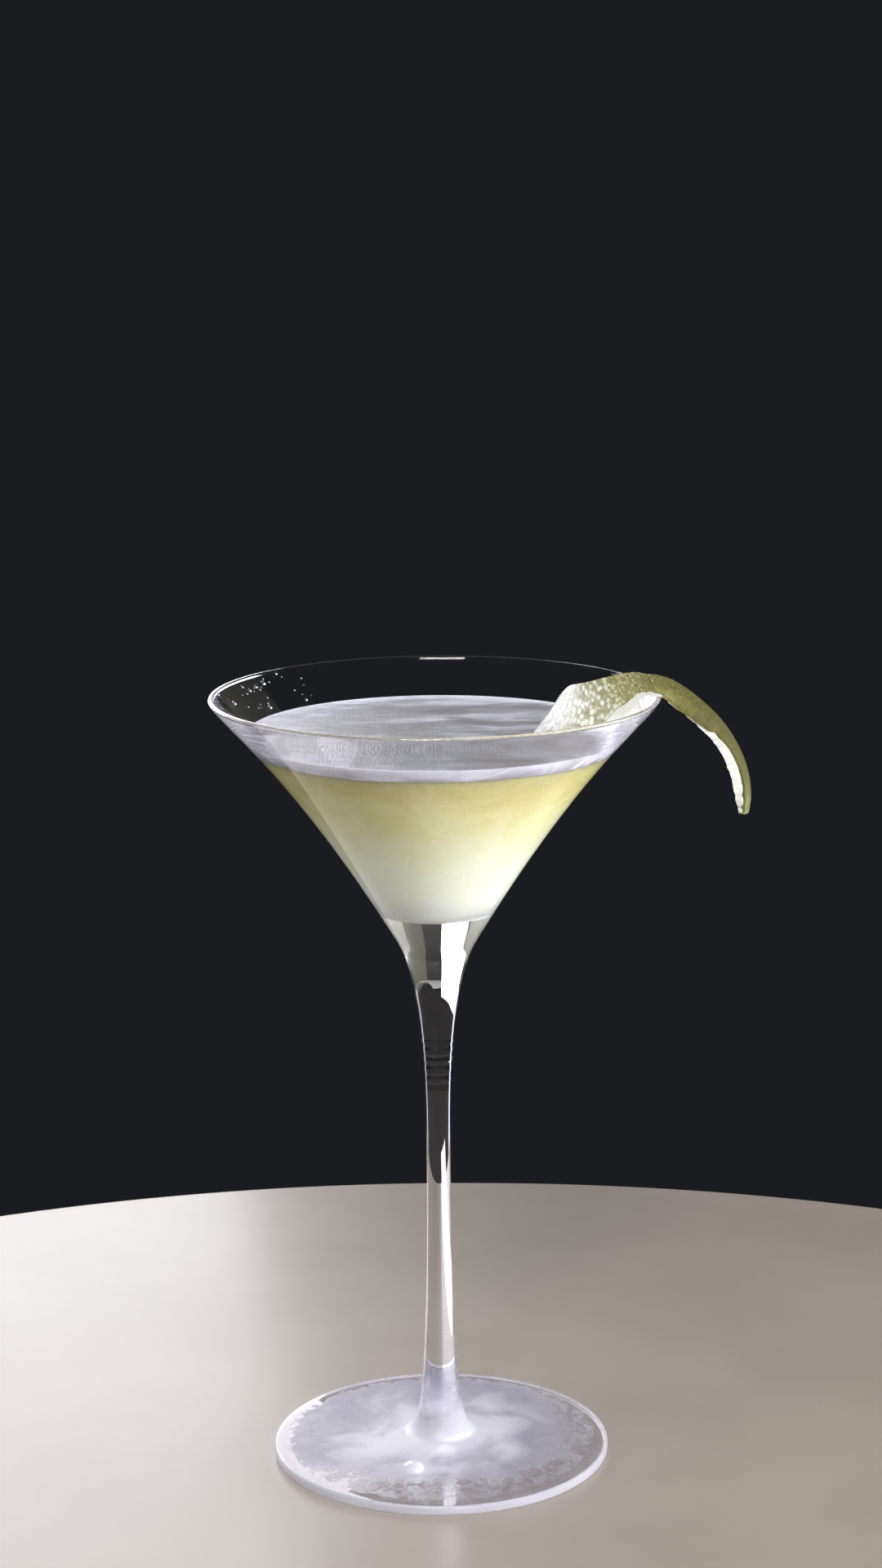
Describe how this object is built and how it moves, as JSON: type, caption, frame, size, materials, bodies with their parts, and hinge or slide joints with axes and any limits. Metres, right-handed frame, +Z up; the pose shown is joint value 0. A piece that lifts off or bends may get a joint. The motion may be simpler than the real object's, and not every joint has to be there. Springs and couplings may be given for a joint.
{
  "type": "martini glass",
  "caption": "Stemmed cocktail glass with a thin flared cone bowl, slender drawn stem and disc foot, holding a foamed drink with a citrus twist laid over the rim.",
  "frame": {"origin": "middle of the foot's flat underside, on the glass's own axis", "axes": "+Z up along the stem; +X points at the place on the rim where the peel hangs over; the drinker stands at -Y"},
  "size_m": [0.125, 0.104, 0.1889],
  "materials": {
    "crystal": "clear fire-polished crystal",
    "frosted_crystal": "clear crystal misted with fine condensation on its top",
    "drink": "cloudy pale yellow liquid",
    "foam": "fine wet foam",
    "zest": "oily pored citrus skin",
    "pith": "matt spongy white"
  },
  "bodies": {
    "glass": {"bowl": "crystal", "stem": "crystal", "foot": "frosted_crystal", "drink": "drink", "foam": "foam"},
    "garnish": {"zest": "zest", "pith": "pith"}
  },
  "joints": [
    {"name": "twist_lift", "type": "slide", "parent": "glass", "child": "garnish", "axis": [0, 0, 1], "range_m": [0, 0.05]}
  ]
}
